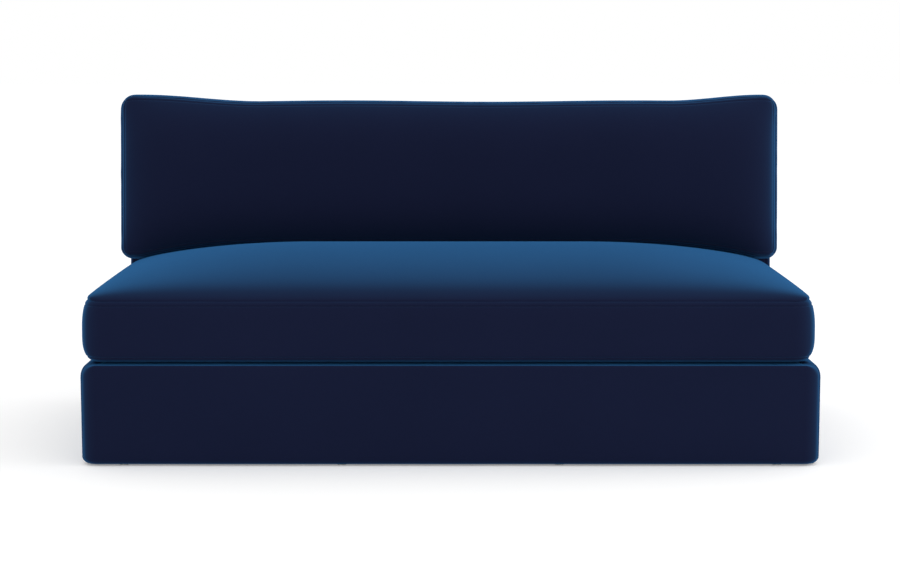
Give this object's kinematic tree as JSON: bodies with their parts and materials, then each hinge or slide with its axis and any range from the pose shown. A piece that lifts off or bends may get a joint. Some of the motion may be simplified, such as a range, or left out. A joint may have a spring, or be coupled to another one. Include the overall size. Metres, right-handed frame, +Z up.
{
  "type": "armless sofa",
  "caption": "Low armless sofa upholstered in dark velvet, with a plinth base to the floor, one long loose bench seat cushion and one long loose back cushion.",
  "frame": {"origin": "on the floor, under the middle of the sofa", "axes": "+X to the sitter's left, seen as right from the front; the front faces -Y; +Z up"},
  "size_m": [1.829, 0.965, 0.8969],
  "materials": {
    "velvet": "matte",
    "deck_cloth": "matte",
    "dust_cloth": "matte",
    "foam": "matte",
    "fibre_wrap": "matte",
    "felt": "matte",
    "webbing": "matte",
    "plywood": "matte",
    "board": "matte",
    "zinc_steel": "satin",
    "spring_steel": "satin",
    "nylon": "satin",
    "zip_tape": "matte",
    "zip_metal": "satin"
  },
  "bodies": {
    "frame": {"back_padding": "foam", "back_webbing": "webbing", "block_screws": "zinc_steel", "bottom_rail": "plywood", "centre_post": "plywood", "corner_blocks": "plywood", "deck_cloth": "deck_cloth", "deck_foam": "foam", "dust_cover": "dust_cloth", "floor_glides": "nylon", "front_cover": "velvet", "front_padding": "foam", "front_rail": "plywood", "inside_back_cover": "velvet", "insulating_felt": "felt", "joint_bolts": "zinc_steel", "joint_rail": "plywood", "joint_washers": "zinc_steel", "left_cover": "velvet", "left_end_cover": "velvet", "end_padding": "foam", "left_padding": "foam", "left_post": "plywood", "left_rail": "plywood", "stretchers": "plywood", "outside_back_board": "board", "outside_back_cover": "velvet", "rear_rail": "plywood", "right_cover": "velvet", "right_end_cover": "velvet", "right_padding": "foam", "right_post": "plywood", "right_rail": "plywood", "sinuous_springs": "spring_steel", "spring_clips": "spring_steel", "tack_rail": "plywood", "tee_nuts": "zinc_steel", "tie_wires": "spring_steel", "top_rail": "plywood"},
    "seat_cushion": {"seat_core": "foam", "seat_wrap": "fibre_wrap", "seat_top_panel": "velvet", "seat_bottom_panel": "velvet", "seat_front_boxing": "velvet", "seat_left_boxing": "velvet", "seat_right_boxing": "velvet", "seat_rear_boxing": "velvet", "seat_zip": "zip_tape"},
    "seat_zip_slider": {"seat_zip_slider": "zip_metal"},
    "back_cushion": {"back_cushion_core": "foam", "back_cushion_wrap": "fibre_wrap", "back_cushion_front": "velvet", "back_cushion_rear": "velvet", "back_cushion_top_boxing": "velvet", "back_cushion_left_boxing": "velvet", "back_cushion_right_boxing": "velvet", "back_cushion_low_boxing": "velvet", "back_cushion_zip": "zip_tape"},
    "back_cushion_zip_slider": {"back_cushion_zip_slider": "zip_metal"}
  },
  "joints": [
    {"name": "seat_cushion_lift", "type": "slide", "parent": "frame", "child": "seat_cushion", "axis": [0, 0, 1], "range_m": [0, 0.55]},
    {"name": "seat_zip_slide", "type": "slide", "parent": "seat_cushion", "child": "seat_zip_slider", "axis": [1, 0, 0], "range_m": [0, 1.36]},
    {"name": "back_cushion_lift", "type": "slide", "parent": "seat_cushion", "child": "back_cushion", "axis": [0, 0, 1], "range_m": [0, 0.55]},
    {"name": "back_cushion_zip_slide", "type": "slide", "parent": "back_cushion", "child": "back_cushion_zip_slider", "axis": [1, 0, 0], "range_m": [0, 0.8]}
  ]
}
